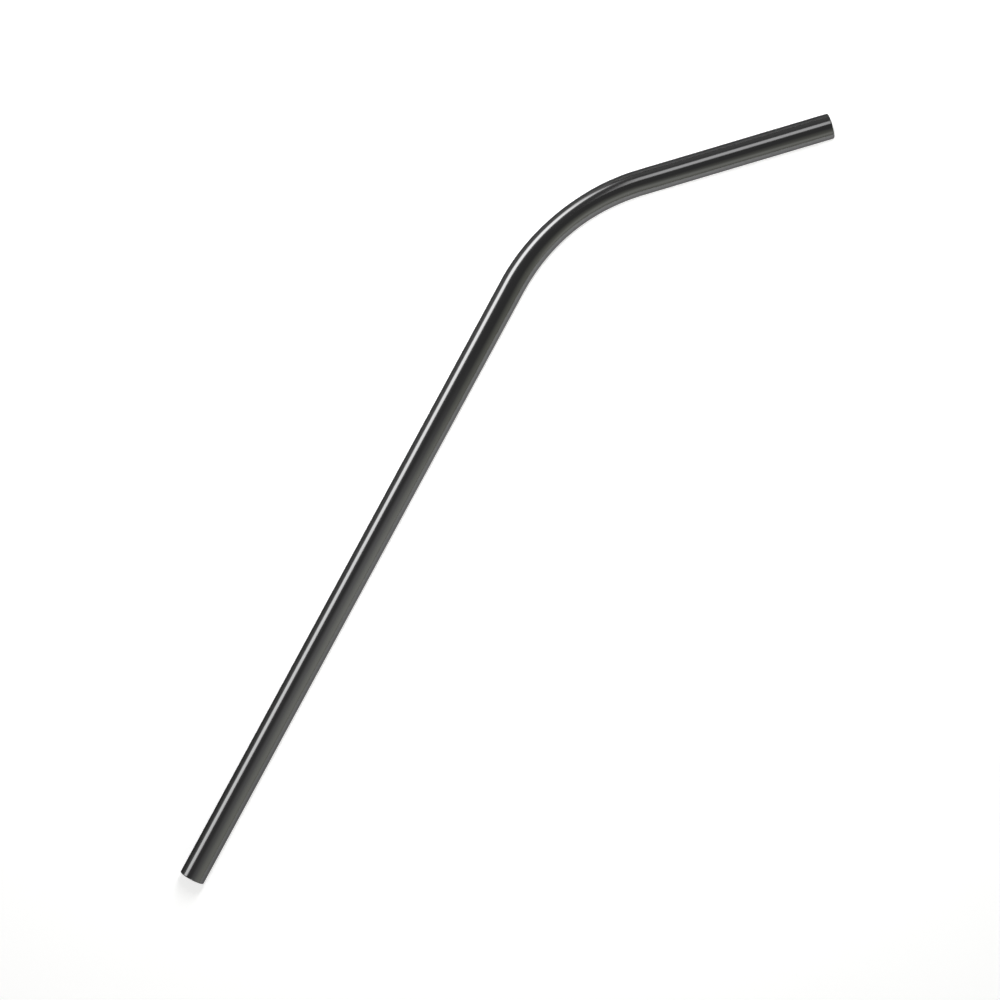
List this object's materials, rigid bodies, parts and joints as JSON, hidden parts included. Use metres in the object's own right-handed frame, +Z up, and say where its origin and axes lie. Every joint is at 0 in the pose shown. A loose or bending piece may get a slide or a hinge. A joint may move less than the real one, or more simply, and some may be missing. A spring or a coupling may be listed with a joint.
{
  "type": "drinking straw",
  "caption": "Slim bent metal tube for drinking: a long straight leg dips into the cup and a smooth bend leads to a short mouth leg, with rounded rims at the open ends.",
  "frame": {"origin": "on the surface that the straw lies on, under the middle of its footprint", "axes": "+Y along the dipping leg towards the bend, +Z up out of the surface, and the mouth leg leans towards +X"},
  "size_m": [0.0522, 0.2256, 0.0062],
  "materials": {
    "dark_polished_steel": "polished"
  },
  "bodies": {
    "root": {"straw_tube": "dark_polished_steel"}
  },
  "joints": []
}
